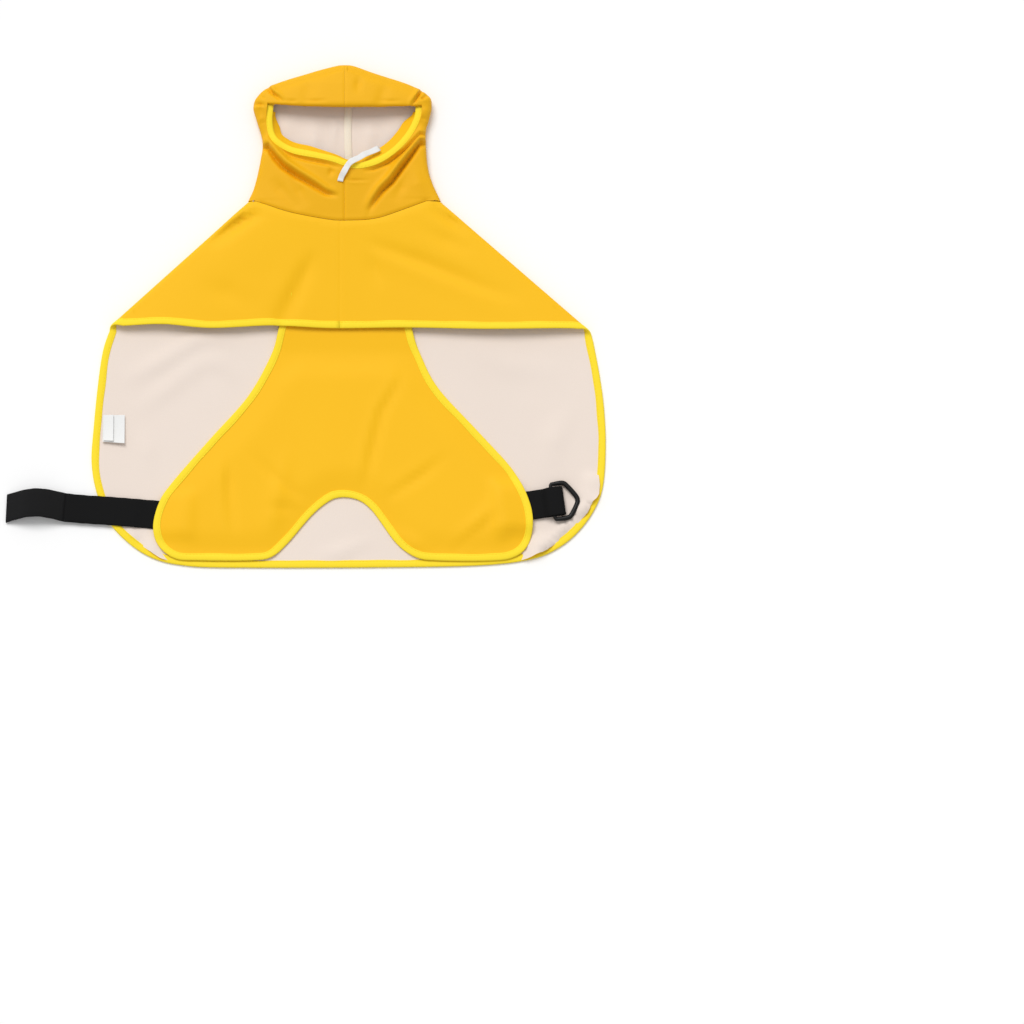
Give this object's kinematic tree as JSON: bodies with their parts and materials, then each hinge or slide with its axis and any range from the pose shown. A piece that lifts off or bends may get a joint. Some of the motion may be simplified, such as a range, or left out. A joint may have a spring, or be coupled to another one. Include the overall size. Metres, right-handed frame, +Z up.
{
  "type": "dog raincoat laid flat",
  "caption": "Hooded dog raincoat laid flat belly side up: folded cape, bound edges, belly panel, webbing strap and a swivelling ring.",
  "frame": {"origin": "on the surface that the garment lies on, on the line of the hood's centre seam, under the back a little above the chest hem", "axes": "+X to the right of the laid garment seen belly side up, +Y towards the hood, +Z up"},
  "size_m": [0.6141, 0.5242, 0.0225],
  "materials": {
    "outer_cloth": "smooth coated raincloth, low sheen",
    "lining": "matt pale beige inner face",
    "binding": "matt woven edge binding",
    "webbing": "matt woven webbing",
    "ring_plastic": "moulded, satin",
    "label": "plain white woven tape"
  },
  "bodies": {
    "garment": {"cape": "outer_cloth", "cape_binding": "binding", "hood_left": "outer_cloth", "hood_right": "outer_cloth", "hood_binding": "binding", "hood_seam_tape": "lining", "belly_panel": "outer_cloth", "belly_binding": "binding", "strap_webbing": "webbing", "strap_hook_end": "webbing", "tab_webbing": "webbing", "care_label_front": "label", "care_label_back": "label", "neck_tape": "label", "leash_flap": "outer_cloth", "leash_flap_binding": "binding"},
    "ring": {"ring": "ring_plastic"}
  },
  "joints": [
    {"name": "ring_swivel", "type": "hinge", "parent": "garment", "child": "ring", "pos_m": [0.21281, -0.195, 0.0054], "axis": [0.1392, -0.9903, 0], "range_deg": [0, 135]}
  ]
}
